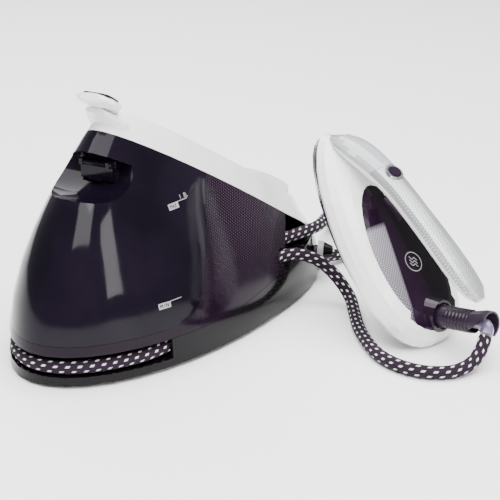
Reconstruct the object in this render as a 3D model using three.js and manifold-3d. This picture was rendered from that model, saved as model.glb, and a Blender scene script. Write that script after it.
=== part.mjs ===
// Steam generator iron: a boiler base with a slide-out water tank, and a hand iron on a steam hose.
// Millimetres, +Z up, floor at z = 0. The base lies along X with its nose (tank end) at -X.
import * as THREE from 'three';
import { mergeVertices } from 'three/addons/utils/BufferGeometryUtils.js';
import Module from 'manifold-3d';

const wasm = await Module();
wasm.setup();

// ---- driving dimensions ----
const SET_CENTRE = { x: 0.15, y: -116.03 }; // middle of the footprint of base and iron together
const GAP = 0.3; // between pieces that touch
const WALL = 3; // moulded shells
const SIDES = 40; // segments round the base hull

const FOOT_HEIGHT = 4; // the tub's underside stands this far off the floor
const FOOTPRINT = { nose: -220, mid: 26, tail: 220, half: 114, noseExp: 2.0, tailExp: 2.55 };
const RIM = { nose: -90, mid: 150, tail: 189, half: 60, noseExp: 2.0, tailExp: 3.0 };
const RIM_NOSE_Z = 234; // height of the rim at the nose
const SLOPE = 0.603; // fall of the iron rest per mm towards the low end
const WALL_POWER = 2.3; // how late the wall leans in towards the rim

const BAND = 29.5; // height of the white top cover's side band
const REST_DEPTH = 8; // the rest lies this far below the rim
const TUB_TOP = [[-300, 31], [-60, 31], [61, 41], [110, 44], [300, 44]];
const TUB_FLOOR = 8;
const TRAY_Z = 41; // top of the tray that carries the tank
const BUTTON_X = 156; // power and eco buttons
const GROOVE = { bottom: 11.5, depth: 19, windowX: -126, reach: -112 };
const SEAM = [[-300, 41], [-132, 41], [-112, 43], [-97, 48.5], [-86, 57], [-76, 69], [-62, 91],
  [-46, 116], [-15, 155], [12, 190]];
// Slanted end of the housing's side walls.
const BAY_EDGE = [[62, 41.5], [75, 54], [89, 62], [104, 71], [122, 81], [150, 97]];
const CORE_INSET = 46; // the housing's core behind the hose ledge
const CORE_TAIL = 182;
const CALC = { x: 148, y: -98.6, z: 31, turn: 0.37 }; // descaling port on the tub's flank
const OUTLET = { y: -76, z: 54 }; // steam outlet in the housing's end wall
const HOSE_DOOR = [[45, -93, 45], [58, -93.5, 48], [70, -98, 51], [84, -109, 51]];

const HOSE_D = 13;
// Heel point, heading of the handle side, lean.
const IRON = { x: 52.8, y: -272.1, z: -6.8, yaw: -105.6, lean: 40.3 };
const IRON_LENGTH = 236;
const HANDLE = [ // x from the heel, height of the middle, half width, half height
  [229, 16, 5, 3], [216, 30, 16, 9], [198, 42.5, 19, 11], [176, 53, 17, 11.5], [150, 62, 14.5, 11],
  [115, 70, 14, 11], [80, 77, 15, 11], [48, 82.5, 15.5, 10.5], [25, 86.5, 13.5, 8.5], [14, 88.5, 6, 4],
];

// Route of the hose's middle line, from the outlet gland to the iron's elbow.
const HOSE_ROUTE = [
  [88.3, -76, 54], [98, -76.4, 54], [118, -81, 54], [140, -86, 53.5], [165, -88, 52], [191, -82, 49],
  [216, -72, 43], [240, -60, 33], [264, -49, 20], [292, -40, 10], [322, -36, 6.9],
  [352, -42, 6.8], [376, -62, 6.8], [386, -90, 6.8], [377, -118, 6.8], [354, -138, 6.8],
  [324, -145, 6.8], [292, -139, 6.8], [260, -125, 6.8], [229, -110, 7], [203, -98.5, 9],
  [180, -91.5, 13], [157, -83, 16], [132, -66, 16.5], [113, -38, 16.5], [103, 0, 16.5], [88, 38, 16.5],
  [60, 68, 17], [22, 91, 18], [-24, 99, 19], [-72, 92, 20], [-115, 81, 21], [-148, 72, 20],
  [-176, 56, 19.5], [-196, 39, 19.5], [-208.5, 20, 19.5], [-213, 0, 19.5], [-208.5, -20, 19.5],
  [-196, -39, 19.5], [-176, -56, 19.5], [-148, -72, 20], [-115, -81, 21],
  [-72, -92, 21.5], [-30, -97, 27], [8, -96, 36], [38, -94, 43.5], [58, -93.5, 48], [71, -98.5, 51],
  [84, -110, 50.5], [96, -127, 42], [99, -147, 26], [90, -166, 12], [68, -182, 7.2], [37, -202, 6.8],
  [9, -225, 6.8], [-15, -251, 6.8], [-27, -280, 6.8], [-26, -305, 6.8], [-13, -325, 7],
  [5, -335.5, 11], [18.5, -338.8, 20], [28.3, -338.9, 29.5],
];
const ELBOW_ROUTE = [[38.3, -324, 37.6], [36, -332, 38.5], [34.3, -337, 37.4], [31.4, -338.9, 34],
  [28.8, -338.9, 31]];

// ---- materials ----
const look = (color, roughness, metalness = 0) =>
  new THREE.MeshStandardMaterial({ color, roughness, metalness });
const WHITE = look(0xf1f1ef, 0.25);
const PURPLE = look(0x3a2440, 0.18);
const TANK = look(0x15101c, 0.12);
const BLACK = look(0x121013, 0.15);
const GREY = look(0x9a9a9d, 0.45);
const SILVER = look(0xb9bbbe, 0.35, 0.4);
const STEEL = look(0xc4c6c8, 0.3, 0.9);
const BRASS = look(0xb58a3c, 0.35, 0.9);
const RUBBER = look(0x1a1a1b, 0.85);
const LAVENDER = look(0x6f6080, 0.2);
const BOARD = look(0x1f6b45, 0.6);
const BRAID = look(0x2c1c34, 0.8);

// ---- solids and booleans ----
function solid(geometry) {
  const bare = geometry.clone();
  bare.deleteAttribute('normal');
  bare.deleteAttribute('uv');
  const merged = mergeVertices(bare, 1e-4);
  const vertProperties = new Float32Array(merged.attributes.position.array);
  const triVerts = new Uint32Array(merged.index.array);
  return new wasm.Manifold(new wasm.Mesh({ numProp: 3, vertProperties, triVerts }));
}

function geometryOf(body) {
  const { vertProperties, triVerts } = body.getMesh();
  const geometry = new THREE.BufferGeometry();
  geometry.setAttribute('position', new THREE.BufferAttribute(new Float32Array(vertProperties), 3));
  geometry.setIndex(new THREE.BufferAttribute(new Uint32Array(triVerts), 1));
  return geometry;
}

// A closed skin over rings of equal length, with a fan on each end.
function loft(rings) {
  const count = rings[0].length;
  const points = rings.flat();
  const index = [];
  for (let r = 0; r + 1 < rings.length; r++) {
    for (let i = 0; i < count; i++) {
      const a = r * count + i;
      const b = r * count + ((i + 1) % count);
      index.push(a, b, b + count, a, b + count, a + count);
    }
  }
  const cap = (start, flip) => {
    const middle = new THREE.Vector3();
    for (let i = 0; i < count; i++) middle.add(points[start + i]);
    points.push(middle.divideScalar(count));
    for (let i = 0; i < count; i++) {
      const a = start + i;
      const b = start + ((i + 1) % count);
      index.push(...(flip ? [points.length - 1, b, a] : [points.length - 1, a, b]));
    }
  };
  cap(0, true);
  cap((rings.length - 1) * count, false);
  const geometry = new THREE.BufferGeometry();
  const flat = points.flatMap((p) => [p.x, p.y, p.z]);
  geometry.setAttribute('position', new THREE.Float32BufferAttribute(flat, 3));
  geometry.setIndex(index);
  const body = solid(geometry);
  return body.volume() < 0 ? solid(turnedInsideOut(geometry)) : body;
}

function turnedInsideOut(geometry) {
  const flipped = geometry.clone();
  const order = flipped.index.array;
  for (let i = 0; i < order.length; i += 3) [order[i + 1], order[i + 2]] = [order[i + 2], order[i + 1]];
  return flipped;
}

function placed(geometry, { x = 0, y = 0, z = 0, rx = 0, ry = 0, rz = 0 } = {}) {
  const turn = new THREE.Euler(...[rx, ry, rz].map(THREE.MathUtils.degToRad), 'ZYX');
  const matrix = new THREE.Matrix4().makeRotationFromEuler(turn).setPosition(x, y, z);
  return solid(geometry.clone().applyMatrix4(matrix));
}

const box = (lx, ly, lz, at) => placed(new THREE.BoxGeometry(lx, ly, lz), at);
// A cylinder or cone along Z, from r0 at the bottom to r1 at the top.
const rod = (r0, r1, height, at, sides = 20) =>
  placed(new THREE.CylinderGeometry(r1, r0, height, sides).rotateX(Math.PI / 2), at);
const ellipsoid = (rx, ry, rz, at, sides = 22) =>
  placed(new THREE.SphereGeometry(1, sides, sides / 2).rotateX(Math.PI / 2).scale(rx, ry, rz), at);

// A prism across Y whose outline is given in X and Z.
function profile(outline, halfWidth = 150) {
  const shape = new THREE.Shape(outline.map(([x, z]) => new THREE.Vector2(x, z)));
  const geometry = new THREE.ExtrudeGeometry(shape, { depth: 2 * halfWidth, bevelEnabled: false });
  return solid(geometry.rotateX(Math.PI / 2).translate(0, halfWidth, 0));
}

// An upright prism whose outline is given in X and Y.
function upright(outline, z0, z1) {
  const shape = new THREE.Shape(outline.map(([x, y]) => new THREE.Vector2(x, y)));
  const geometry = new THREE.ExtrudeGeometry(shape, { depth: z1 - z0, bevelEnabled: false });
  return solid(geometry.translate(0, 0, z0));
}

function tube(points, radius, steps, sides = 10) {
  const path = new THREE.CatmullRomCurve3(points.map((p) => new THREE.Vector3(...p)), false, 'centripetal');
  const round = new THREE.Shape();
  for (let i = 0; i < sides; i++) {
    const a = (2 * Math.PI * i) / sides;
    const method = i ? 'lineTo' : 'moveTo';
    round[method](radius * Math.cos(a), radius * Math.sin(a));
  }
  return solid(new THREE.ExtrudeGeometry(round, { steps, extrudePath: path }));
}

const joined = (first, ...others) => others.reduce((all, next) => all.add(next), first);
const without = (first, ...others) => others.reduce((left, next) => left.subtract(next), first);

// ---- the base hull ----
function egg(form, angle) {
  const c = Math.cos(angle);
  const s = Math.sin(angle);
  const exponent = 2 / (c < 0 ? form.noseExp : form.tailExp);
  const reach = c < 0 ? form.mid - form.nose : form.tail - form.mid;
  return [form.mid + Math.sign(c) * reach * Math.abs(c) ** exponent,
    Math.sign(s) * form.half * Math.abs(s) ** exponent];
}

const rimZ = (x) => RIM_NOSE_Z - SLOPE * (x - RIM.nose);
const bandZ = (x) => rimZ(x) - BAND;

// Ring of the hull at height share t (0 at the underside, 1 at the rim), moved inwards by inset.
function hullRing(t, inset = 0) {
  const ring = [];
  for (let i = 0; i < SIDES; i++) {
    const angle = (2 * Math.PI * (i + 0.5)) / SIDES;
    const [bx, by] = egg(FOOTPRINT, angle);
    const [tx, ty] = egg(RIM, angle);
    const lean = t ** WALL_POWER;
    const z = FOOT_HEIGHT + (rimZ(tx) - FOOT_HEIGHT) * t;
    ring.push(new THREE.Vector3(bx + (tx - bx) * lean, by + (ty - by) * lean, z));
  }
  if (!inset) return ring;
  return ring.map((p, i) => {
    const before = ring[(i + SIDES - 1) % SIDES];
    const after = ring[(i + 1) % SIDES];
    const along = new THREE.Vector2(after.x - before.x, after.y - before.y).normalize();
    return new THREE.Vector3(p.x - along.y * inset, p.y + along.x * inset, p.z);
  });
}

const rimRing = (inset, drop) => hullRing(1, inset).map((p) => p.setZ(rimZ(p.x) - drop));
const HEIGHTS = [0, 0.15, 0.3, 0.45, 0.58, 0.7, 0.8, 0.9, 1];
const hull = (inset = 0) => loft(HEIGHTS.map((t) => hullRing(t, inset)));
const below = (zOf, low = -200) => profile([[-300, low], [300, low], [300, zOf(300)], [-300, zOf(-300)]]);
// The solid on the low side of the tank's seam, moved by dx and dz.
const behindSeam = (dx, dz = 0) => profile([...SEAM.map(([x, z]) => [x + dx, z + dz]),
  [400, 400], [400, -20], [-400, -20], [-400, TRAY_Z + dz]]);

const OUTER = hull();
const INNER = hull(WALL);

function lowerTub() {
  const body = OUTER.intersect(profile([[-300, 0], [300, 0],
    ...[...TUB_TOP].reverse().map(([x, z]) => [x, z])]));
  const room = profile([[GROOVE.reach, TUB_FLOOR], [300, TUB_FLOOR], [300, 41], [110, 41], [58, 37.6],
    [58, 90], [GROOVE.reach, 90]]).intersect(INNER);
  const noseRoom = profile([[-300, TUB_FLOOR], [-100, TUB_FLOOR], [-100, 90], [-300, 90]])
    .intersect(hull(GROOVE.depth + WALL));
  const grooveBand = (x1) => profile([[-300, GROOVE.bottom], [x1, GROOVE.bottom], [x1, 60], [-300, 60]]);
  const window = without(grooveBand(GROOVE.windowX), hull(GROOVE.depth));
  const lane = without(grooveBand(GROOVE.reach + 2), hull(GROOVE.depth)).intersect(INNER);
  const port = tube([[205, -98, 10], [180, -91.5, 13], [157, -83, 16], [138, -70, 18]], 8.4, 10, 12);
  const calcHole = rod(7, 7, 40, { ...CALC, rx: 90, rz: THREE.MathUtils.radToDeg(CALC.turn) });
  return without(body, room, noseRoom, window, lane, port, calcHole);
}

function housing() {
  const [start, ledge] = TUB_TOP.slice(0, 2).map(([x, z]) => [x, z + GAP]);
  const skin = OUTER.intersect(profile([start, ledge, ...BAY_EDGE, [150, 300], [-300, 300]]));
  const core = hull(CORE_INSET).intersect(profile([[40, 44 + GAP], [CORE_TAIL, 44 + GAP],
    [CORE_TAIL, 300], [40, 300]]));
  const both = joined(skin, core).intersect(below((x) => bandZ(x) - GAP)).intersect(behindSeam(GAP));
  const slope = BAY_EDGE.map(([x, z]) => [x - 6, z]);
  const room = joined(
    INNER.intersect(profile([[-108, 10], [56, 10], ...slope, [144, 300], [-108, 300]])),
    hull(GROOVE.depth + WALL).intersect(profile([[-300, 10], [-100, 10], [-100, 300], [-300, 300]])),
  ).intersect(behindSeam(GAP + 3.6, -WALL));
  const coreRoom = hull(CORE_INSET + WALL).intersect(
    profile([[30, 30], [CORE_TAIL - WALL, 30], [CORE_TAIL - WALL, 300], [30, 300]]));
  const hoseDoor = tube(HOSE_DOOR, 8.4, 8, 12);
  const gland = rod(9.3, 9.3, 50, { x: 70, y: OUTLET.y, z: OUTLET.z, ry: 90 });
  const couplingHole = rod(5, 5, 30, { x: -78, z: 70, ry: 90 });
  return without(both, room, coreRoom, hoseDoor, gland, couplingHole);
}

function topCover() {
  const closes = RIM.nose + (RIM_NOSE_Z - BAND - 44 - GAP) / SLOPE; // where the band meets the tub
  const shell = OUTER.intersect(profile([[-300, bandZ(-300)], [closes, 44 + GAP], [300, 44 + GAP],
    [300, 500], [-300, 500]]));
  const under = INNER.intersect(below((x) => rimZ(x) - REST_DEPTH - WALL));
  const over = loft([rimRing(6, REST_DEPTH), rimRing(6, -30)]);
  const fairing = onSlope(loft([[-22, 11, 3, -9.5], [-12, 16, 5, -11], [2, 21, 7, -13.5], [18, 21, 8, -15.5]]
    .map(([x, half, thick, z]) => ovalX(x, z, half, thick))));
  const notch = joined(onSlope(box(60, 16.6, 30, { x: -4, z: 10.1 })), onSlope(paddle(0.4, 9)));
  const buttonHole = (y) => rod(7.4, 7.4, 60, { x: BUTTON_X, y, z: 76 });
  return without(joined(shell, fairing), under, over, notch, buttonHole(-16), buttonHole(16));
}

const recessRoof = (x) => bandZ(x) - 27;
const DOOR = { x: -112, z: 177, halfY: 15, halfZ: 5 };
const DOOR_PIN = { x: DOOR.x - 4.2, z: DOOR.z + 9.6, rx: 90 };

function tankShell() {
  const space = (wall) => hull(wall).intersect(below((x) => bandZ(x) - GAP - wall)).intersect(
    without(profile([[-400, TRAY_Z + GAP + wall], [400, TRAY_Z + GAP + wall], [400, 400], [-400, 400]]),
      behindSeam(-GAP - wall)));
  const grip = (grow) => ellipsoid(40 + grow, 75 + grow, 34 + grow, { x: -140, z: 192 }, 32)
    .intersect(below((x) => recessRoof(x) + grow));
  const lug = (y) => box(7, 4, 6, { x: DOOR.x - 3.3, y, z: DOOR_PIN.z });
  const padBody = box(14, 40, 36, { x: DOOR.x + 7, z: DOOR.z })
    .intersect(space(0)).intersect(below((x) => recessRoof(x) + 2));
  const doorPad = without(joined(padBody, lug(15), lug(-15)), rod(1.8, 1.8, 60, DOOR_PIN, 12));
  const doorHole = box(60, 2 * DOOR.halfY, 2 * DOOR.halfZ, { x: DOOR.x + 10, z: DOOR.z });
  const boss = rod(12, 12, 34, { x: -88, z: 70, ry: 90 }).intersect(space(0));
  const bossHole = joined(rod(9, 9, 40, { x: -76, z: 70, ry: 90 }),
    rod(3, 3, 30, { x: -100, z: 70, ry: 90 }));
  const wet = without(space(WALL), grip(WALL), boss);
  const dry = without(space(0), grip(0));
  return without(joined(without(dry, wet), doorPad), doorHole, bossHole);
}

function fillDoor() {
  const plate = box(2.4, 2 * DOOR.halfY + 6, 12.8, { x: DOOR.x - 1.5, z: DOOR.z - 0.2 });
  const neck = box(3.6, 24, 5, { x: DOOR.x - 2.4, z: DOOR.z + 8 });
  const barrel = rod(2.6, 2.6, 24, DOOR_PIN);
  const tab = box(4, 14, 2.5, { x: DOOR.x - 4.2, z: DOOR.z - 5.2 });
  return without(joined(plate, neck, barrel, tab), rod(1.8, 1.8, 40, DOOR_PIN, 12));
}

// ---- small pieces of the base ----
function lathe(outline, at, sides = 24) {
  const points = outline.map(([r, z]) => new THREE.Vector2(r, z));
  return placed(new THREE.LatheGeometry(points, sides).rotateX(Math.PI / 2), at);
}

const foot = (x, y) => lathe([[0, 0], [8.5, 0], [9.5, 1], [9.5, FOOT_HEIGHT - GAP],
  [0, FOOT_HEIGHT - GAP]], { x, y }, 18);

function restMat() {
  const pad = loft([rimRing(20, REST_DEPTH - GAP), rimRing(20, REST_DEPTH - GAP - 2.2)]);
  return pad.intersect(profile([[-40, 0], [134, 0], [134, 300], [-40, 300]]));
}

function heelStop() {
  const block = (inset) => loft([rimRing(inset, REST_DEPTH - GAP), rimRing(inset, -24)]);
  const crest = profile([[60, 20], [60, rimZ(60) - 1], [88, rimZ(88) + 6], [120, rimZ(120) + 11],
    [150, rimZ(150) + 13], [172, rimZ(172) + 12], [190, rimZ(190) + 4], [190, 20]]);
  return without(block(6.4), loft([rimRing(16, 30), rimRing(16, -60)])).intersect(crest);
}

// Moves a body drawn on the rim's plane, with its origin at the rim's nose and -x pointing up the slope.
const onSlope = (body) => body.transform(
  new THREE.Matrix4().makeRotationY(Math.atan(SLOPE)).setPosition(RIM.nose, 0, RIM_NOSE_Z).toArray());

// The lock's paddle, grown all round by more and drawn out by slide.
const paddle = (more = 0, slide = 0) => loft([[-36 - slide, 12, 3.2], [-33 - slide, 17, 4.8],
  [-24, 21.5, 5.8], [-12, 21.5, 5.8], [-4, 15, 5.2], [2, 9, 4.2]].map(([x, half, thick], i) =>
  ovalX(x + (i > 2 ? more : -more), -1, half + more, thick + more)));
// The release button let into the paddle's top, grown all round by more.
const inlay = (more, z0, z1) => upright(Array.from({ length: 28 }, (_, i) => {
  const [x, y] = egg({ nose: -13 - more, mid: 0, tail: 13 + more, half: 15 + more, noseExp: 4, tailExp: 4 },
    (2 * Math.PI * i) / 28);
  return [x - 18, y];
}), z0, z1);

function latchArm() {
  const tongue = box(22, 16, 4.5, { x: 6, z: -2.25 });
  return without(joined(paddle(), tongue), inlay(0.3, 0.6, 20));
}

// An oval ring across X, with middle at (x, 0, z).
function ovalX(x, z, half, thick, count = 20) {
  return Array.from({ length: count }, (_, i) => {
    const a = (2 * Math.PI * i) / count;
    return new THREE.Vector3(x, half * Math.cos(a), z + thick * Math.sin(a));
  });
}

// ---- the iron, lying on its soleplate: x from heel to tip, z up ----
const SOLE = { nose: 38, mid: 104, tail: IRON_LENGTH, half: 52, noseExp: 2.6, tailExp: 1.75 };
const SKIRT = { nose: 0, mid: 92, tail: IRON_LENGTH + 1, half: 59, noseExp: 2.6, tailExp: 1.75 };
const INSERT = { nose: 5, mid: 86, tail: 193, half: 51, noseExp: 2.4, tailExp: 1.8 };

function ironRing(form, z, shrink = 0, stretch = 0, count = 36) {
  return Array.from({ length: count }, (_, i) => {
    const [x, y] = egg(form, (2 * Math.PI * (i + 0.5)) / count);
    const share = 1 - shrink / form.half;
    return new THREE.Vector3(form.mid + (x - form.mid) * share + stretch, y * share, z);
  });
}

const skirtSkin = (inset) => loft([
  ironRing(SKIRT, inset ? 5 : 7.6, 1.5 + inset), ironRing(SKIRT, 12, inset),
  ironRing(SKIRT, 20, 2 + inset, -1),
  ironRing(SKIRT, 27, 7 + inset, -2), ironRing(SKIRT, 31 - inset, 16 + inset, -2)]);
const insertSkin = (inset) => loft([
  ironRing(INSERT, 18, inset), ironRing(INSERT, 24, 1 + inset), ironRing(INSERT, 29, 6 + inset, -2),
  ironRing(INSERT, 32.4 - inset, 15 + inset, -4)]);

// Rings of one half of the handle: the top half is the grip, the lower half the shell.
function handleHalf(top, grow = 0) {
  const middle = new THREE.CatmullRomCurve3(HANDLE.map(([x, z]) => new THREE.Vector3(x, 0, z)), false,
    'centripetal');
  const rings = [];
  const steps = 20;
  for (let s = 0; s <= steps; s++) {
    const t = s / steps;
    const p = middle.getPoint(t);
    const along = middle.getTangent(t);
    const up = new THREE.Vector3(-along.z, 0, along.x).multiplyScalar(along.x < 0 ? -1 : 1);
    const k = t * (HANDLE.length - 1);
    const i = Math.min(HANDLE.length - 2, Math.floor(k));
    const half = THREE.MathUtils.lerp(HANDLE[i][2], HANDLE[i + 1][2], k - i) + grow;
    const thick = THREE.MathUtils.lerp(HANDLE[i][3], HANDLE[i + 1][3], k - i) + grow;
    const ring = [];
    for (let j = 0; j <= 10; j++) {
      const a = (Math.PI * j) / 10;
      const lift = top ? Math.sin(a) * thick + GAP / 2 : -Math.sin(a) * thick - GAP / 2;
      ring.push(p.clone().addScaledVector(up, lift).add(new THREE.Vector3(0, half * Math.cos(a), 0)));
    }
    rings.push(ring);
  }
  return loft(rings);
}

const NOSE_END = 172.5; // the clear nose piece runs from the tip to here
const BUTTON = { x: 162, z: 68, tilt: 19 };
const TRIGGER = { x: 134, z: 54.4, tilt: 14 };

// ---- the model ----
const model = new THREE.Group();
const table = new THREE.Group();
table.position.set(-SET_CENTRE.x, -SET_CENTRE.y, 0);
model.add(table);

function put(name, body, material, parent = table) {
  const mesh = new THREE.Mesh(geometryOf(body), material);
  mesh.name = name;
  parent.add(mesh);
  return mesh;
}

// base
put('lower_tub', lowerTub(), BLACK);
[[-150, -40], [-150, 40], [130, -62], [130, 62]]
  .forEach(([x, y], i) => put(`foot_${i + 1}`, foot(x, y), RUBBER));
put('housing', housing(), PURPLE);
put('top_cover', topCover(), WHITE);
put('rest_mat', restMat(), GREY);
put('heel_stop', heelStop(), WHITE);
for (const [name, y] of [['power_button', -16], ['eco_button', 16]]) {
  put(name, rod(7, 7, 8, { x: BUTTON_X, y, z: rimZ(BUTTON_X) - REST_DEPTH - 0.5 }), GREY);
}

// base internals
put('chassis', joined(box(112, 120, 3, { x: 0, y: 0, z: 46.5 }),
  ...[[-50, -50], [-50, 50], [45, -50], [45, 50]].map(([x, y]) => box(8, 8, 37, { x, y, z: 26.8 }))), GREY);
put('boiler', lathe([[0, -52], [18, -51], [27, -44], [30, -34], [30, 34], [27, 44], [18, 51], [0, 52]],
  { x: 14, y: 4, z: 78.5, rx: 90 }), STEEL);
put('boiler_heater', tube([[-20, -28, 79], [-25, -20, 79], [-25, 30, 79], [-20, 38, 79]], 3.2, 14, 8),
  BRASS);
put('steam_valve', joined(rod(9, 9, 12, { x: 14, y: 28, z: 115 }),
  box(18, 18, 12, { x: 14, y: 28, z: 124 })), BRASS);
put('safety_valve', rod(6, 4, 16, { x: 14, y: -4, z: 117.2 }), BRASS);
put('pump', joined(rod(13, 13, 34, { x: -34, y: -38, z: 61.5, rx: 90 }),
  box(16, 16, 12, { x: -34, y: -38, z: 54.4 })), GREY);
put('control_board', box(2, 60, 40, { x: 52, y: 30, z: 70 }), BOARD);
put('board_bracket', box(5, 62, 1.2, { x: 52, y: 30, z: 48.9 }), GREY);
put('water_pipe', tube([[-68.6, 0, 70], [-60, 1, 70], [-48, 2, 67], [-38, -2, 63], [-34.3, -12, 61.5],
  [-34, -20.6, 61.5]], 3, 16, 8), RUBBER);
put('steam_pipe', tube([[24, 28, 124], [35, 27, 123], [47, 10, 112], [49.5, -20, 92], [45, -50, 72],
  [44, -72, 57], [49, -76, 54.2], [55.4, -76, 54]], 3.5, 22, 8), RUBBER);
put('tank_coupling', joined(rod(6.5, 6.5, 7, { x: -85.5, z: 70, ry: 90 }),
  rod(4.6, 4.6, 21.5, { x: -79.75, z: 70, ry: 90 })), GREY);

// hose outlet, descaling cap, mains inlet
put('hose_outlet', joined(rod(9, 9, 24, { x: 68, ...OUTLET, ry: 90 }),
  rod(9, 7.4, 8, { x: 83.9, ...OUTLET, ry: 90 })), RUBBER);
const calc = (d) => ({ x: CALC.x + d * Math.sin(CALC.turn), y: CALC.y - d * Math.cos(CALC.turn),
  z: CALC.z, rx: 90, rz: THREE.MathUtils.radToDeg(CALC.turn) });
put('calc_collar', without(rod(11.5, 10.6, 6, calc(3.3), 24), rod(7, 7, 20, calc(3))), GREY);
put('calc_knob', joined(rod(6.7, 6.7, 14, calc(3)), rod(10, 6, 9, calc(11.2))), BLACK);
put('mains_inlet', box(22, 10, 18, { x: 128, y: 56, z: 56 }), BLACK);

// carry lock on the nose
put('latch_arm', onSlope(latchArm()), WHITE);
put('latch_button', onSlope(inlay(0, 2.8, 5.2)), PURPLE);

// water tank
put('tank_shell', tankShell(), TANK);
put('tank_valve', without(rod(8.6, 8.6, 4.8, { x: -93.3, z: 70, ry: 90 }),
  rod(3, 3, 20, { x: -90, z: 70, ry: 90 })), RUBBER);
put('fill_door', fillDoor(), TANK);
put('fill_door_pin', rod(1.5, 1.5, 33, DOOR_PIN, 12), STEEL);

// iron
const iron = new THREE.Group();
const [yaw, lean] = [IRON.yaw, IRON.lean].map(THREE.MathUtils.degToRad);
const away = new THREE.Vector3(Math.cos(yaw), Math.sin(yaw), 0); // level heading of the handle side
const length = away.clone().multiplyScalar(-Math.sin(lean)).setZ(Math.cos(lean));
const normal = away.clone().multiplyScalar(Math.cos(lean)).setZ(Math.sin(lean));
const side = new THREE.Vector3().crossVectors(normal, length);
iron.matrixAutoUpdate = false;
iron.matrix.makeBasis(length, side, normal).setPosition(IRON.x, IRON.y, IRON.z);
table.add(iron);

put('soleplate', loft([ironRing(SOLE, 0, 2), ironRing(SOLE, 1.5), ironRing(SOLE, 4.4)]), STEEL, iron);
put('heat_shield', loft([ironRing(SOLE, 4.4 + GAP, 1.5), ironRing(SOLE, 7.3, 1.5)]), BLACK, iron);

const socket = { x: 24, z: 29.5, tilt: 122 }; // where the hose sleeve leaves the heel; tilt from +x
const along = (d) => ({ x: socket.x + d * Math.cos(THREE.MathUtils.degToRad(socket.tilt)),
  z: socket.z + d * Math.sin(THREE.MathUtils.degToRad(socket.tilt)), ry: 90 - socket.tilt });
const socketRoom = rod(13.4, 13.4, 22, along(2), 24);
const handleRoom = joined(handleHalf(true, GAP), handleHalf(false, GAP));
const cupRoom = rod(19.3, 15.9, 22.6, along(-3), 24);
const cup = without(rod(19, 15.6, 22, along(-3), 24), socketRoom).intersect(box(400, 200, 80,
  { x: 100, z: 67 }));
put('skirt', without(skirtSkin(0), skirtSkin(WALL), insertSkin(-GAP), handleRoom, cupRoom), WHITE, iron);
put('body_cover', without(joined(without(insertSkin(0), insertSkin(WALL),
  box(400, 200, 40, { x: 100, z: -1.7 })), cup),
  socketRoom, handleRoom), PURPLE, iron);
put('steam_chamber', loft([ironRing(SOLE, 7.6, 14), ironRing(SOLE, 14, 16), ironRing(SOLE, 16, 20)]),
  STEEL, iron);
put('thermostat', rod(9, 9, 7, { x: 120, z: 19.8 }), BRASS, iron);
put('steam_inlet_pipe', tube([[46, 0, 24], [55, 0, 24], [63, 0, 22.5], [65.4, 0, 19], [65.6, 0, 16.4]],
  2.4, 12, 8), BRASS, iron);

const grip = handleHalf(true);
const shellHalf = handleHalf(false);
const front = profile([[NOSE_END, 0], [300, 0], [300, 120], [NOSE_END, 120]], 60);
const buttonRoom = rod(9.5, 9.5, 30, { x: BUTTON.x, z: BUTTON.z, ry: BUTTON.tilt });
put('nose_piece', grip.intersect(front), GREY, iron);
put('handle_grip', without(grip, profile([[NOSE_END - GAP, 0], [300, 0], [300, 120],
  [NOSE_END - GAP, 120]], 60), buttonRoom), SILVER, iron);
const pinAt = { x: TRIGGER.x + 15, z: TRIGGER.z - 2, rx: 90 };
const triggerRoom = box(30.4, 13.4, 15, { x: TRIGGER.x, z: TRIGGER.z + 2.2, ry: TRIGGER.tilt });
put('handle_shell', without(shellHalf, triggerRoom, buttonRoom, rod(1.7, 1.7, 17, pinAt, 12)), WHITE, iron);
put('mode_bezel', without(rod(9.2, 9.2, 5, { x: BUTTON.x, z: BUTTON.z, ry: BUTTON.tilt }),
  rod(7.2, 7.2, 12, { x: BUTTON.x, z: BUTTON.z, ry: BUTTON.tilt })), STEEL, iron);
put('mode_button', rod(6.8, 6.4, 6, { x: BUTTON.x + 0.2, z: BUTTON.z + 0.4, ry: BUTTON.tilt }), PURPLE,
  iron);
put('steam_trigger', without(box(27, 12, 10, { x: TRIGGER.x, z: TRIGGER.z - 2, ry: TRIGGER.tilt }),
  rod(1.7, 1.7, 17, pinAt, 12)), PURPLE, iron);
put('trigger_pin', rod(1.4, 1.4, 16, pinAt, 12), STEEL, iron);

// hose sleeve, elbow and hose
const sleeve = (outline) => lathe(outline, along(0), 24);
put('swivel_ball', sleeve([[0, -5], [8, -5], [12, -1], [12.8, 3], [11.6, 8], [0, 8]]), PURPLE, iron);
const mouth = along(62);
put('hose_sleeve', without(sleeve([[0, 8.3], [11.2, 8.3], [10.2, 24], [10.6, 46], [13.4, 60], [13.4, 66],
  [11.4, 66], [9.6, 56], [8.6, 42], [0, 42]]), box(26, 26, 26, { x: mouth.x - 9, y: 9, z: mouth.z - 5 })),
PURPLE, iron);
put('hose_elbow', tube(ELBOW_ROUTE, 6.3, 14, 12), LAVENDER);
put('steam_hose', tube(HOSE_ROUTE, HOSE_D / 2, 80, 8), BRAID);

export default model;
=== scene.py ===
import math

import bpy
from mathutils import Matrix, Vector
from mathutils.bvhtree import BVHTree


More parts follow.
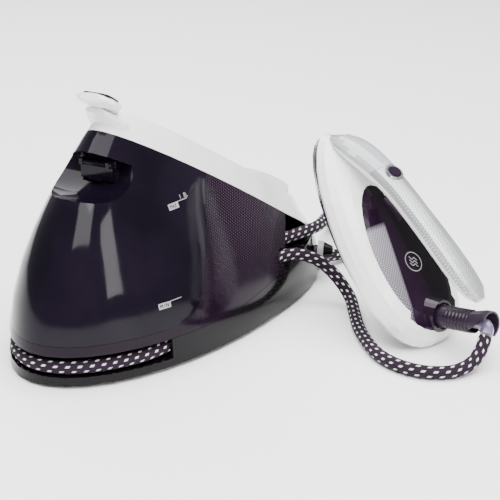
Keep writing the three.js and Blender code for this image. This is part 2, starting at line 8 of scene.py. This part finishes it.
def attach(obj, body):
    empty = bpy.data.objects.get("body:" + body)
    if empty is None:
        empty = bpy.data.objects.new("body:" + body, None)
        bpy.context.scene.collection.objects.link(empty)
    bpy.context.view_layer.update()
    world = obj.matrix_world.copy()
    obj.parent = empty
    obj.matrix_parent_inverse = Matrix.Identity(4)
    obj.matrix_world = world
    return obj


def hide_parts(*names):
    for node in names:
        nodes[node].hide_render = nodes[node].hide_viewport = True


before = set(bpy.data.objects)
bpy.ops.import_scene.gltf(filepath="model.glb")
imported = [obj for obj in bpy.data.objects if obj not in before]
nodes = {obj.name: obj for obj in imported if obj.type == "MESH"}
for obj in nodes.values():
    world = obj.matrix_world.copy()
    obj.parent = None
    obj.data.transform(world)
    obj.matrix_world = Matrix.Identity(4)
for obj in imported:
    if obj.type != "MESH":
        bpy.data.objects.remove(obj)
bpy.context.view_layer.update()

# The base's own origin lies here in the row frame (metres).
BASE = Vector((-0.00015, 0.11603, 0.0))


def base_point(x, y, z):
    """A point given in millimetres from the base's origin."""
    return Vector((x, y, z)) / 1000 + BASE


# ---- camera ----
AZIMUTH = math.radians(-60.119)
ELEVATION = math.radians(20.74)
DISTANCE = 1.6095
LENS = 114.37
SENSOR_WIDTH = 36
LOOK_AT = base_point(36.1, -78.7, 65.0)

back = Vector((math.sin(AZIMUTH) * math.cos(ELEVATION),
               -math.cos(AZIMUTH) * math.cos(ELEVATION),
               math.sin(ELEVATION)))
camera_data = bpy.data.cameras.new("camera")
camera_data.lens = LENS
camera_data.sensor_width = SENSOR_WIDTH
camera = bpy.data.objects.new("camera", camera_data)
camera.location = LOOK_AT + back * DISTANCE
camera.rotation_euler = back.to_track_quat("Z", "Y").to_euler()
bpy.context.scene.collection.objects.link(camera)
bpy.context.scene.camera = camera

# ---- the iron's own axes: x from heel to tip, y to its left, z up from the soleplate ----
YAW = math.radians(-105.6)  # level heading of the handle side
LEAN = math.radians(40.3)  # rise of the handle side above level
HEEL = base_point(52.8, -272.1, -6.8)

away = Vector((math.cos(YAW), math.sin(YAW), 0))
iron_x = -math.sin(LEAN) * away + Vector((0, 0, math.cos(LEAN)))
iron_z = math.cos(LEAN) * away + Vector((0, 0, math.sin(LEAN)))
iron_y = iron_z.cross(iron_x)
IRON = Matrix.Translation(HEEL) @ Matrix((iron_x, iron_y, iron_z)).transposed().to_4x4()


def iron_point(x, y, z):
    """A point given in millimetres along the iron's own axes."""
    return IRON @ (Vector((x, y, z)) / 1000)


def mesh_object(name, verts, faces, material):
    """A smooth-shaded mesh, linked to the scene."""
    mesh = bpy.data.meshes.new(name)
    mesh.from_pydata([tuple(v) for v in verts], [], faces)
    mesh.update()
    obj = bpy.data.objects.new(name, mesh)
    bpy.context.scene.collection.objects.link(obj)
    mesh.shade_smooth()
    mesh.materials.append(material)
    return obj


# ---- steam hose: the middle line of the CAD hose in base millimetres, and the tube along it ----
HOSE_D = 0.013
HOSE_STEP = 0.004  # between rings of the tube
HOSE_SIDES = 24
BRAID_SHARE = 0.97  # the drawn braid's share of the hose's diameter
HOSE_ROUTE = [
    (88.3, -76, 54), (98, -76.4, 54), (118, -81, 54), (140, -86, 53.5), (165, -88, 52), (191, -82, 49),
    (216, -72, 43), (240, -60, 33), (264, -49, 20), (292, -40, 10), (322, -36, 6.9), (352, -42, 6.8),
    (376, -62, 6.8), (386, -90, 6.8), (377, -118, 6.8), (354, -138, 6.8), (324, -145, 6.8),
    (292, -139, 6.8), (260, -125, 6.8), (229, -110, 7), (203, -98.5, 9), (180, -91.5, 13), (157, -83, 16),
    (132, -66, 16.5), (113, -38, 16.5), (103, 0, 16.5), (88, 38, 16.5), (60, 68, 17), (22, 91, 18),
    (-24, 99, 19), (-72, 92, 20), (-115, 81, 21), (-148, 72, 20), (-176, 56, 19.5), (-196, 39, 19.5),
    (-208.5, 20, 19.5), (-213, 0, 19.5), (-208.5, -20, 19.5), (-196, -39, 19.5), (-176, -56, 19.5),
    (-148, -72, 20), (-115, -81, 21), (-72, -92, 21.5), (-30, -97, 27), (8, -96, 36), (38, -94, 43.5),
    (58, -93.5, 48), (71, -98.5, 51), (84, -110, 50.5), (96, -127, 42), (99, -147, 26), (90, -166, 12),
    (68, -182, 7.2), (37, -202, 6.8), (9, -225, 6.8), (-15, -251, 6.8), (-27, -280, 6.8), (-26, -305, 6.8),
    (-13, -325, 7), (5, -335.5, 11), (18.5, -338.8, 20), (28.3, -338.9, 29.5),
]


def spline(points, step, per_span=24):
    """Points every step along the centripetal curve through the given ones."""
    ends = [2 * points[0] - points[1], *points, 2 * points[-1] - points[-2]]
    dense = []
    for i in range(1, len(ends) - 2):
        p = ends[i - 1:i + 3]
        t = [0.0]
        for a, b in zip(p, p[1:]):
            t.append(t[-1] + math.sqrt((b - a).length))
        for k in range(per_span):
            u = t[1] + (t[2] - t[1]) * k / per_span
            a1 = p[0] * (t[1] - u) / (t[1] - t[0]) + p[1] * (u - t[0]) / (t[1] - t[0])
            a2 = p[1] * (t[2] - u) / (t[2] - t[1]) + p[2] * (u - t[1]) / (t[2] - t[1])
            a3 = p[2] * (t[3] - u) / (t[3] - t[2]) + p[3] * (u - t[2]) / (t[3] - t[2])
            b1 = a1 * (t[2] - u) / (t[2] - t[0]) + a2 * (u - t[0]) / (t[2] - t[0])
            b2 = a2 * (t[3] - u) / (t[3] - t[1]) + a3 * (u - t[1]) / (t[3] - t[1])
            dense.append(b1 * (t[2] - u) / (t[2] - t[1]) + b2 * (u - t[1]) / (t[2] - t[1]))
    dense.append(points[-1].copy())
    out, left = [dense[0]], step
    for a, b in zip(dense, dense[1:]):
        seg = (b - a).length
        while seg >= left:
            a = a + (b - a) * (left / seg)
            out.append(a)
            seg, left = (b - a).length, step
        left -= seg
    if (out[-1] - dense[-1]).length > step / 3:
        out.append(dense[-1])
    return out


def tube(name, path, radius, sides, material):
    """A round tube with u along its length in metres and v once around."""
    ends = [path[0], *path, path[-1]]
    tangents = [(after - before).normalized() for before, after in zip(ends, ends[2:])]
    across = tangents[0].cross(Vector((0, 0, 1))).normalized()
    verts, faces = [], []
    for p, t in zip(path, tangents):
        across = (across - t * across.dot(t)).normalized()
        other = t.cross(across)
        for k in range(sides):
            a = 2 * math.pi * k / sides
            verts.append(p + radius * (math.cos(a) * across + math.sin(a) * other))
    for i in range(len(path) - 1):
        for k in range(sides):
            n = (k + 1) % sides
            faces.append((i * sides + k, i * sides + n, (i + 1) * sides + n, (i + 1) * sides + k))
    quads = len(faces)
    last = (len(path) - 1) * sides
    faces.append(tuple(range(sides - 1, -1, -1)))
    faces.append(tuple(last + k for k in range(sides)))
    obj = mesh_object(name, verts, faces, material)
    uv = obj.data.uv_layers.new(name="braid").data
    lengths = [0.0]
    for a, b in zip(path, path[1:]):
        lengths.append(lengths[-1] + (b - a).length)
    for f in range(quads):
        i, k = divmod(f, sides)
        corners = ((i, k), (i, k + 1), (i + 1, k + 1), (i + 1, k))
        for loop, (r, c) in zip(obj.data.polygons[f].loop_indices, corners):
            uv[loop].uv = (lengths[r], c / sides)
    return obj, lengths[-1]


# ---- materials ----
class Nodes:
    """A material being built: each call adds a node and returns its output socket."""

    def __init__(self, name):
        self.material = bpy.data.materials.new(name)
        self.material.use_nodes = True
        self.tree = self.material.node_tree
        self.shader = next(n for n in self.tree.nodes if n.type == "BSDF_PRINCIPLED")

    def add(self, kind, **settings):
        node = self.tree.nodes.new(kind)
        for key, value in settings.items():
            setattr(node, key, value)
        return node

    def feed(self, socket, value):
        if isinstance(value, bpy.types.NodeSocket):
            self.tree.links.new(value, socket)
        elif isinstance(value, tuple) and len(value) == 3 and socket.type == "RGBA":
            socket.default_value = (*value, 1)
        else:
            socket.default_value = value

    def math(self, operation, *values):
        node = self.add("ShaderNodeMath", operation=operation)
        for socket, value in zip(node.inputs, values):
            self.feed(socket, value)
        return node.outputs[0]

    def coords(self, kind="Object"):
        return self.add("ShaderNodeTexCoord").outputs[kind]

    def split(self, vector):
        node = self.add("ShaderNodeSeparateXYZ")
        self.feed(node.inputs[0], vector)
        return node.outputs

    def noise(self, scale, detail=2.0, vector=None):
        node = self.add("ShaderNodeTexNoise")
        self.feed(node.inputs["Vector"], vector or self.coords())
        node.inputs["Scale"].default_value = scale
        node.inputs["Detail"].default_value = detail
        return node.outputs["Fac"]

    def ramp(self, value, low, high, out_low, out_high):
        node = self.add("ShaderNodeMapRange", clamp=True)
        for socket, v in zip(node.inputs, (value, low, high, out_low, out_high)):
            self.feed(socket, v)
        return node.outputs[0]

    def mix(self, factor, a, b):
        node = self.add("ShaderNodeMix", data_type="RGBA")
        self.feed(node.inputs[0], factor)
        self.feed(node.inputs[6], a)
        self.feed(node.inputs[7], b)
        return node.outputs[2]

    def bump(self, height, strength, depth):
        node = self.add("ShaderNodeBump")
        self.feed(node.inputs["Height"], height)
        node.inputs["Strength"].default_value = strength
        node.inputs["Distance"].default_value = depth
        return node.outputs[0]

    def surface(self, **values):
        for key, value in values.items():
            self.feed(self.shader.inputs[key.replace("_", " ")], value)
        return self.material


def plastic(name, color, rough, coat=0.0, grain=900, depth=0.00004, specular=0.5):
    """Moulded plastic: faint mottling, uneven gloss, a fine moulded grain."""
    n = Nodes(name)
    mottled = n.ramp(n.noise(35, 3), 0.3, 0.7, 0.0, 1.0)
    darker = tuple(c * 0.93 for c in color)
    return n.surface(
        Base_Color=n.mix(mottled, color, darker),
        Roughness=n.ramp(n.noise(60, 4), 0.3, 0.7, rough * 0.85, rough * 1.2),
        Coat_Weight=coat, Coat_Roughness=0.06, Specular_IOR_Level=specular,
        Normal=n.bump(n.noise(grain, 2), 0.25, depth))


def metal(name, color, rough):
    """Brushed metal: streaks along x."""
    n = Nodes(name)
    stretch = n.add("ShaderNodeMapping")
    n.feed(stretch.inputs[0], n.coords())
    stretch.inputs["Scale"].default_value = (4, 300, 300)
    lines = n.noise(3, 4, stretch.outputs[0])
    darker = tuple(c * 0.85 for c in color)
    return n.surface(
        Base_Color=n.mix(lines, color, darker), Metallic=1.0,
        Roughness=n.ramp(lines, 0.3, 0.7, rough * 0.75, rough * 1.35), Normal=n.bump(lines, 0.15, 0.00003))


def dots(n, a, b, pitch, share):
    """1 on a staggered grid of dots over the coordinates a and b, soft at their edges, 0 between."""
    k = 2 * math.pi / pitch
    wave_a = n.math("SINE", n.math("MULTIPLY", a, k))
    wave_b = n.math("SINE", n.math("MULTIPLY", b, k))
    wave = n.math("MULTIPLY", wave_a, wave_b)
    return n.ramp(wave, share, share + 0.25, 0.0, 1.0)


def on_iron(n):
    """Coordinates along the iron's own axes, in metres."""
    local = n.add("ShaderNodeMapping", vector_type="POINT")
    n.feed(local.inputs[0], n.coords())
    turned = IRON.inverted()
    local.inputs["Location"].default_value = turned.translation
    local.inputs["Rotation"].default_value = turned.to_euler()
    return local.outputs[0]


def housing_look():
    """Aubergine gloss with a fine pale dot mesh that fades out towards the bottom and the tank."""
    n = Nodes("aubergine_mesh")
    x, _, z = n.split(n.coords())
    mesh = dots(n, x, z, 0.0042, 0.28)
    fade = n.math("MULTIPLY", n.ramp(z, 0.045, 0.1, 0.0, 1.0), n.ramp(x, -0.06, 0.02, 0.15, 1.0))
    mask = n.math("MULTIPLY", mesh, fade)
    tone = n.mix(n.ramp(n.noise(30, 3), 0.3, 0.7, 0.0, 1.0), (0.008, 0.003, 0.009), (0.006, 0.002, 0.007))
    return n.surface(Base_Color=n.mix(mask, tone, (0.05, 0.033, 0.05)),
                     Roughness=n.ramp(n.noise(60, 4), 0.3, 0.7, 0.1, 0.16), Specular_IOR_Level=0.14,
                     Normal=n.bump(mask, 0.2, 0.0001))


def cover_look():
    """The iron's cover: aubergine gloss, painted shade under the handle on its right half, a pale dotted
    field on its left.
    """
    n = Nodes("aubergine_cover")
    x, y, _ = n.split(on_iron(n))
    edge = n.math("ADD", y, n.ramp(x, 0.03, 0.13, -0.012, 0.012))
    field = n.math("MULTIPLY", n.ramp(edge, 0.017, 0.02, 0.0, 1.0), n.ramp(x, 0.128, 0.122, 0.0, 1.0))
    fade = n.ramp(x, 0.02, 0.12, 0.35, 1.0)
    speck = dots(n, x, y, 0.0036, 0.25)
    shade = n.math("MULTIPLY", field, n.math("MULTIPLY_ADD", speck, 0.5, n.math("MULTIPLY", fade, 0.5)))
    tone = n.mix(n.ramp(n.noise(30, 3), 0.3, 0.7, 0.0, 1.0), (0.012, 0.004, 0.014), (0.008, 0.003, 0.009))
    # Painted shade: the right half, which lies under the handle, is painted near black.
    tone = n.mix(n.ramp(y, -0.004, -0.0055, 0.0, 1.0), tone, (0.004, 0.003, 0.004))
    return n.surface(Base_Color=n.mix(shade, tone, (0.34, 0.32, 0.36)),
                     Roughness=n.ramp(shade, 0.0, 1.0, 0.12, 0.3), Specular_IOR_Level=0.25,
                     Normal=n.bump(n.noise(900), 0.2, 0.00003))


def grip_look():
    """Satin silver handle with raised dots, brighter along its crown."""
    n = Nodes("silver_grip")
    x, y, _ = n.split(on_iron(n))
    speck = dots(n, x, y, 0.0034, 0.3)
    here = n.math("MULTIPLY", speck, n.ramp(x, 0.165, 0.13, 0.0, 1.0))
    tone = n.mix(n.ramp(n.noise(40, 3), 0.3, 0.7, 0.0, 1.0), (0.36, 0.365, 0.375), (0.31, 0.315, 0.325))
    return n.surface(Base_Color=n.mix(here, tone, (0.58, 0.59, 0.60)), Metallic=0.5,
                     Roughness=n.ramp(here, 0.0, 1.0, 0.36, 0.28), Normal=n.bump(here, 0.5, 0.0003))


def tank_look():
    """Dark tinted tank: near-black violet with a mirror gloss and slightly uneven walls."""
    n = Nodes("tinted_tank")
    cloudy = n.ramp(n.noise(14, 3), 0.35, 0.7, 0.0, 1.0)
    tone = n.mix(cloudy, (0.003, 0.002, 0.005), (0.007, 0.004, 0.010))
    return n.surface(Base_Color=tone, Roughness=n.ramp(n.noise(50, 4), 0.3, 0.7, 0.06, 0.12),
                     Specular_IOR_Level=0.16, Normal=n.bump(n.noise(12, 1), 0.06, 0.0006))


def braid_look():
    """Woven sleeve: dark aubergine yarn in a diagonal weave, eight rows of pale slanted dashes."""
    n = Nodes("braid")
    u, v, _ = n.split(n.coords("UV"))
    row = n.math("MULTIPLY", v, 8.0)
    row_in = n.math("FRACT", row)
    odd = n.math("MULTIPLY", n.math("MODULO", n.math("FLOOR", row), 2.0), 0.5)
    slant = n.math("MULTIPLY", row_in, 0.35)
    step = n.math("FRACT", n.math("ADD", n.math("ADD", n.math("DIVIDE", u, 0.0105), odd), slant))
    across = n.math("MULTIPLY", n.ramp(row_in, 0.28, 0.36, 0.0, 1.0), n.ramp(row_in, 0.74, 0.66, 0.0, 1.0))
    lengthways = n.math("MULTIPLY", n.ramp(step, 0.02, 0.08, 0.0, 1.0), n.ramp(step, 0.4, 0.34, 0.0, 1.0))
    dash = n.math("MULTIPLY", across, lengthways)
    phase_along = n.math("MULTIPLY", u, 2600.0)
    phase_around = n.math("MULTIPLY", v, 2 * math.pi * 16)
    one = n.math("SINE", n.math("ADD", phase_along, phase_around))
    two = n.math("SINE", n.math("SUBTRACT", phase_along, phase_around))
    weave = n.math("MAXIMUM", one, two)
    # The yarn's own dark aubergine and the pale dashes both get darker down in the weave's grooves, which
    # is painted shade.
    yarn = n.mix(n.ramp(weave, -0.2, 1.0, 0.0, 1.0), (0.006, 0.002, 0.007), (0.020, 0.009, 0.021))
    pale = n.mix(n.ramp(weave, -0.2, 1.0, 0.0, 1.0), (0.55, 0.53, 0.55), (0.85, 0.84, 0.85))
    return n.surface(Base_Color=n.mix(dash, yarn, pale), Roughness=0.8, Specular_IOR_Level=0.2,
                     Normal=n.bump(weave, 0.6, 0.0004))


WHITE = plastic("white_gloss", (0.87, 0.87, 0.86), 0.2, coat=0.5)
SATIN_WHITE = plastic("white_satin", (0.85, 0.85, 0.84), 0.3, coat=0.2)
AUBERGINE = plastic("aubergine_gloss", (0.014, 0.005, 0.017), 0.14, specular=0.3)
BOOT = plastic("aubergine_rubber", (0.014, 0.006, 0.017), 0.33, specular=0.3)
BLACK = plastic("black_gloss", (0.004, 0.003, 0.004), 0.1, specular=0.16)
BLACK_SATIN = plastic("black_satin", (0.02, 0.02, 0.021), 0.4)
GREY = plastic("grey_satin", (0.27, 0.27, 0.28), 0.42)
CLEAR_GREY = plastic("smoky_clear", (0.40, 0.41, 0.43), 0.08, coat=0.9)
LAVENDER = plastic("lavender_gloss", (0.16, 0.13, 0.22), 0.14, coat=0.5)
RUBBER = plastic("rubber", (0.018, 0.018, 0.019), 0.75, grain=400, depth=0.0001)
BOARD = plastic("board_green", (0.02, 0.12, 0.06), 0.45)
PRINT = plastic("pale_print", (0.30, 0.30, 0.31), 0.5)
STEEL = metal("polished_steel", (0.62, 0.63, 0.64), 0.22)
BRASS = metal("brass", (0.58, 0.40, 0.16), 0.3)
HOUSING, COVER, GRIP, TANK, BRAID = housing_look(), cover_look(), grip_look(), tank_look(), braid_look()

LOOKS = {
    WHITE: ["top_cover", "heel_stop", "latch_arm", "skirt"],
    SATIN_WHITE: ["handle_shell"],
    HOUSING: ["housing"],
    COVER: ["body_cover"],
    AUBERGINE: ["latch_button", "mode_button", "steam_trigger"],
    BOOT: ["swivel_ball", "hose_sleeve"],
    TANK: ["tank_shell", "fill_door"],
    BLACK: ["lower_tub", "calc_knob"],
    BLACK_SATIN: ["heat_shield", "mains_inlet"],
    GREY: ["rest_mat", "power_button", "eco_button", "chassis", "pump", "board_bracket", "tank_coupling",
           "calc_collar"],
    CLEAR_GREY: ["nose_piece"],
    GRIP: ["handle_grip"],
    STEEL: ["boiler", "soleplate", "steam_chamber", "mode_bezel", "trigger_pin", "fill_door_pin"],
    BRASS: ["boiler_heater", "steam_valve", "safety_valve", "thermostat", "steam_inlet_pipe"],
    RUBBER: ["foot_1", "foot_2", "foot_3", "foot_4", "hose_outlet", "water_pipe", "steam_pipe",
             "tank_valve"],
    LAVENDER: ["hose_elbow"],
    BOARD: ["control_board"],
}
SHARP = math.radians(32)  # edges steeper than this stay sharp
for material, names in LOOKS.items():
    for name in names:
        mesh = nodes[name].data
        mesh.materials.clear()
        mesh.materials.append(material)
        mesh.shade_smooth()
        mesh.set_sharp_from_angle(angle=SHARP)

# ---- the hull's true normals on the base's outer skins ----
FOOTPRINT = dict(nose=-220, mid=26, tail=220, half=114, nose_exp=2.0, tail_exp=2.55)
RIM = dict(nose=-90, mid=150, tail=189, half=60, nose_exp=2.0, tail_exp=3.0)
RIM_NOSE_Z = 234
SLOPE = 0.603  # fall of the rim per mm towards the low end
FOOT_HEIGHT = 4
WALL_POWER = 2.3  # how late the wall leans in towards the rim
RECESS = dict(centre=base_point(-140, 0, 192), half=Vector((0.040, 0.075, 0.034)))


def egg(form, angle):
    """A point of an egg-shaped outline, whose two ends have a reach and a roundness of their own."""
    c, s = math.cos(angle), math.sin(angle)
    power = 2 / (form["nose_exp"] if c < 0 else form["tail_exp"])
    reach = form["mid"] - form["nose"] if c < 0 else form["tail"] - form["mid"]
    return (form["mid"] + math.copysign(reach * abs(c) ** power, c),
            math.copysign(form["half"] * abs(s) ** power, s))


def hull_point(angle, t):
    """A point of the hull at height share t, from 0 at the underside to 1 at the rim."""
    bx, by = egg(FOOTPRINT, angle)
    tx, ty = egg(RIM, angle)
    inward = t ** WALL_POWER
    rim_z = RIM_NOSE_Z - SLOPE * (tx - RIM["nose"])
    z = FOOT_HEIGHT + (rim_z - FOOT_HEIGHT) * t
    return base_point(bx + (tx - bx) * inward, by + (ty - by) * inward, z)


def scoop_normal(at, facing):
    """The hand recess is part of an ellipsoid hollow; its normal at a point on it, else None."""
    offset, half = at - RECESS["centre"], RECESS["half"]
    scaled = Vector(offset[i] / half[i] for i in range(3))
    inward = -Vector(scaled[i] / half[i] for i in range(3)).normalized()
    return inward if abs(scaled.length - 1) < 0.02 and inward.dot(facing) > 0.9 else None


def true_normals(names, around=240, rings=70):
    """Gives the faceted skins that lie on the hull or in the hand recess the curved shapes' own normals."""
    verts = [hull_point(2 * math.pi * i / around, r / rings)
             for r in range(rings + 1) for i in range(around)]
    faces = [(r * around + i, r * around + (i + 1) % around, (r + 1) * around + (i + 1) % around,
              (r + 1) * around + i) for r in range(rings) for i in range(around)]
    tree = BVHTree.FromPolygons([tuple(v) for v in verts], faces)

    def blended(at, face):
        """The hull's normal at a point, from the normals of the faces round the nearest one."""
        r, i = divmod(face, around)
        total = Vector()
        for dr in (-1, 0, 1):
            for di in (-2, -1, 0, 1, 2):
                rr = min(max(r + dr, 0), rings - 1)
                a, b, c, d = (Vector(verts[k]) for k in faces[rr * around + (i + di) % around])
                n = (c - a).cross(d - b)
                weight = 1 / (1e-4 + (at - (a + b + c + d) / 4).length)
                total += n.normalized() * weight
        return total.normalized()

    for name in names:
        mesh = nodes[name].data
        normals = [Vector(n.vector) for n in mesh.corner_normals]
        for polygon in mesh.polygons:
            for loop in polygon.loop_indices:
                at = mesh.vertices[mesh.loops[loop].vertex_index].co
                near, _, face, gap = tree.find_nearest(at)
                if gap is not None and gap < 0.001:
                    smooth = blended(near, face)
                    if smooth.dot(polygon.normal) > 0.86:
                        normals[loop] = smooth
                scooped = scoop_normal(at, polygon.normal) if name == "tank_shell" else None
                if scooped:
                    normals[loop] = scooped
        mesh.normals_split_custom_set([tuple(n) for n in normals])


true_normals(["lower_tub", "housing", "top_cover", "tank_shell"])

# ---- the braided hose ----
route = spline([base_point(*p) for p in HOSE_ROUTE], HOSE_STEP)
hose, hose_length = tube("braided_hose", route, HOSE_D / 2 * BRAID_SHARE, HOSE_SIDES, BRAID)
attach(hose, "base")
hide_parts("steam_hose")


# ---- small visible details ----
SOCKET = Vector((24, 0, 29.5))  # where the hose sleeve leaves the heel, on the iron's axes in mm
SLEEVE_TILT = math.radians(122)  # from the iron's x axis
RIB_START, RIB_PITCH = 18, 4.2  # mm along the sleeve
RIB_FOOT = 10.35  # mm, radius at the foot of the first rib
RIB_PROFILE = ((0, -1.3), (0.75, -0.9), (1.0, 0), (0.75, 0.9), (0, 1.3))  # height and place along, in mm


def ribs():
    """Seven raised ribs round the hose sleeve, as one open skin through rings of points."""
    count = 40
    axis = Vector((math.cos(SLEEVE_TILT), 0, math.sin(SLEEVE_TILT)))
    side = Vector((0, 1, 0))
    other = axis.cross(side)
    rings = []
    for k in range(7):
        d, r = RIB_START + RIB_PITCH * k, RIB_FOOT + 0.02 * k
        for lift, shift in RIB_PROFILE:
            ring = []
            for i in range(count):
                a = 2 * math.pi * i / count
                outward = side * math.cos(a) + other * math.sin(a)
                ring.append(iron_point(*(SOCKET + axis * (d + shift) + outward * (r + lift))))
            rings.append(ring)
    verts = [v for ring in rings for v in ring]
    faces = []
    for r in range(len(rings) - 1):
        for i in range(count):
            j = (i + 1) % count
            faces.append((r * count + i, r * count + j, (r + 1) * count + j, (r + 1) * count + i))
    return mesh_object("sleeve_ribs", verts, faces, BOOT)


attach(ribs(), "hose_boot")


def loop_stroke(x, y, half_width, half_height):
    """A closed oval stroke of ten sides, starting at its top."""
    turns = [a * math.pi / 5 for a in range(11)]
    return [(x + half_width * math.sin(a), y + half_height * math.cos(a)) for a in turns]


# Letters and figures as strokes on a grid 4 wide and 6 high.
LETTER_HEIGHT = 6
LETTER_PITCH = 5.6
STROKES = {
    "M": [[(0, 0), (0, 6), (2, 2.6), (4, 6), (4, 0)]],
    "A": [[(0, 0), (2, 6), (4, 0)], [(0.8, 2), (3.2, 2)]],
    "X": [[(0, 0), (4, 6)], [(0, 6), (4, 0)]],
    "I": [[(2, 0), (2, 6)]],
    "N": [[(0, 0), (0, 6), (4, 0), (4, 6)]],
    "L": [[(0, 6), (0, 0), (3.4, 0)]],
    "1": [[(1, 4.6), (2.4, 6), (2.4, 0)]],
    ".": [[(1.8, 0), (2.3, 0)]],
    "8": [loop_stroke(2, 4.6, 1.5, 1.4), loop_stroke(2, 1.6, 1.8, 1.6)],
}


def words(text, x, y, size):
    """The strokes of a word whose lower left corner is at (x, y), with letters size mm high."""
    unit = size / LETTER_HEIGHT
    out = []
    for i, letter in enumerate(text):
        for stroke in STROKES[letter]:
            out.append([(x + (LETTER_PITCH * i + a) * unit, y + b * unit) for a, b in stroke])
    return out


CAST_FROM = 0.02  # strokes drop onto the skin from this far outside it
STROKE_STEP = 0.6  # mm between points of a stroke


def printed(name, strokes, at, across, up, node, body, width, lift=0.2, material=PRINT):
    """Thin strokes lying on a node's skin; strokes are in mm from the point at, seen from outside."""
    across = across.normalized()
    normal = across.cross(up).normalized()
    up = normal.cross(across)
    mesh = nodes[node].data
    skin = BVHTree.FromPolygons([v.co.copy() for v in mesh.vertices],
                                [tuple(f.vertices) for f in mesh.polygons])
    verts, faces = [], []
    for stroke in strokes:
        fine = []
        for (ax, ay), (bx, by) in zip(stroke, stroke[1:]):
            steps = max(1, round(math.hypot(bx - ax, by - ay) / STROKE_STEP))
            fine += [(ax + (bx - ax) * k / steps, ay + (by - ay) * k / steps) for k in range(steps)]
        fine.append(stroke[-1])
        start = len(verts)
        for i, (x, y) in enumerate(fine):
            (px, py), (qx, qy) = fine[max(i - 1, 0)], fine[min(i + 1, len(fine) - 1)]
            length = math.hypot(qx - px, qy - py) or 1
            sx, sy = (py - qy) / length * width / 2, (qx - px) / length * width / 2
            for sign in (1, -1):
                point = at + (across * (x + sign * sx) + up * (y + sign * sy)) / 1000
                hit, facing, _, _ = skin.ray_cast(point + normal * CAST_FROM, -normal)
                if hit is None:
                    hit, facing, _, _ = skin.find_nearest(point)
                verts.append(hit + facing * lift / 1000)
            if i:
                k = start + 2 * i
                faces.append((k - 2, k - 1, k + 1, k))
    piece = mesh_object(name, verts, faces, material)
    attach(piece, body)


def level_mark(name, word, at, across, extra=""):
    """A pale label with a dark word, and a level line with an optional figure over it."""
    where = (at, across, Vector((0, 0, 1)), "tank_shell", "tank")
    line = [[(13, 4.4), (27, 4.4)], *words(extra, 17, 5.6, 3.6)]
    printed(name + "_label", [[(-1, 2), (13, 2)]], *where, width=5.4)
    printed(name + "_line", line, *where, width=0.6)
    printed(name + "_word", words(word, 1, 0.2, 3.6), *where, width=0.6, lift=0.35, material=BLACK)


level_mark("max_mark", "MAX", base_point(-84, -59.5, 141.5), Vector((1, -0.2, 0)), "1.8L")
level_mark("min_mark", "MIN", base_point(-133, -79, 62), Vector((1, -0.42, 0)))


def steam_mark(radius=10):
    """A plain ring with three waves on the iron's cover, in mm."""
    turns = [a * math.pi / 18 for a in range(37)]
    ring = [(radius * math.cos(a), radius * math.sin(a)) for a in turns]
    along = [-5 + 0.5 * i for i in range(21)]
    waves = [[(x, y + 1.1 * math.sin(x * 1.05)) for x in along] for y in (-3.4, 0, 3.4)]
    turn = IRON.to_3x3()
    across, up = turn @ Vector((-0.39, -0.92, 0)), turn @ Vector((0.92, -0.39, 0))
    printed("steam_mark", [ring, *waves], iron_point(80.5, -3.6, 32.4), across, up, "body_cover", "iron",
            width=0.9)


steam_mark()


VENT_PITCH = 11.5
VENT_HALF_LENGTH, VENT_HALF_WIDTH = 2.4, 1.5


def vent_line(x):
    """Half the width of the curve that the vent rows are set in from, closing in towards the tip."""
    closing = max(x - 84, 0) / 128
    return 44 * (1 - closing ** 2) ** 0.62


def vent_shade_ovals():
    """Two rows of steam vents along each edge of the sole, and three at its tip, as dark ovals just proud
    of the sole: painted shade standing in for the holes.
    """
    spots = [(190, 0), (183, 5), (183, -5)]
    for i in range(9):
        x = 174 - VENT_PITCH * i
        y = vent_line(x)
        spots += [(x, y - 5), (x, 5 - y), (x - 5, y - 13), (x - 5, 13 - y)]
    turns = [a * math.pi / 6 for a in range(12)]
    verts, faces = [], []
    for x, y in spots:
        k = len(verts)
        verts += [iron_point(x + VENT_HALF_LENGTH * math.cos(a), y + VENT_HALF_WIDTH * math.sin(a), -0.12)
                  for a in turns]
        faces.append(tuple(range(k + 11, k - 1, -1)))
    # Painted shade: dark ovals in place of the vent holes, whose dark insides are only shade.
    return mesh_object("sole_vent_shade", verts, faces, BLACK_SATIN)


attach(vent_shade_ovals(), "iron")

# ---- floor and lights ----
floor_look = Nodes("pale_floor")
floor_look.surface(Base_Color=floor_look.mix(floor_look.noise(3), (0.94, 0.94, 0.94), (0.95, 0.95, 0.95)),
                   Roughness=0.6)
HALF_FLOOR = 6
corners = [(x * HALF_FLOOR, y * HALF_FLOOR, 0) for x, y in ((-1, -1), (1, -1), (1, 1), (-1, 1))]
floor = mesh_object("floor", corners, [(0, 1, 2, 3)], floor_look.material)

world = bpy.data.worlds.new("studio")
world.use_nodes = True
background = world.node_tree.nodes["Background"]
background.inputs["Color"].default_value = (1, 1, 1, 1)
background.inputs["Strength"].default_value = 0.4
bpy.context.scene.world = world


def soft_light(name, at, target, size, power):
    """A rectangular area light that faces its target."""
    data = bpy.data.lights.new(name, "AREA")
    data.shape = "RECTANGLE"
    data.size, data.size_y = size
    data.energy = power
    light = bpy.data.objects.new(name, data)
    light.location = at
    light.rotation_euler = (Vector(at) - Vector(target)).to_track_quat("Z", "Y").to_euler()
    bpy.context.scene.collection.objects.link(light)


soft_light("overhead", (0, 0, 2.6), (0, 0, 0), (3.4, 3.4), 270)
soft_light("key", (-1.1, -0.6, 1.5), (0, 0, 0.1), (0.9, 0.9), 24)
soft_light("front", (-0.6, -1.8, 0.9), (0, 0, 0.1), (0.5, 1.1), 20)
soft_light("rear", (0.9, 1.3, 1.2), (0, 0, 0.1), (1.2, 0.8), 14)
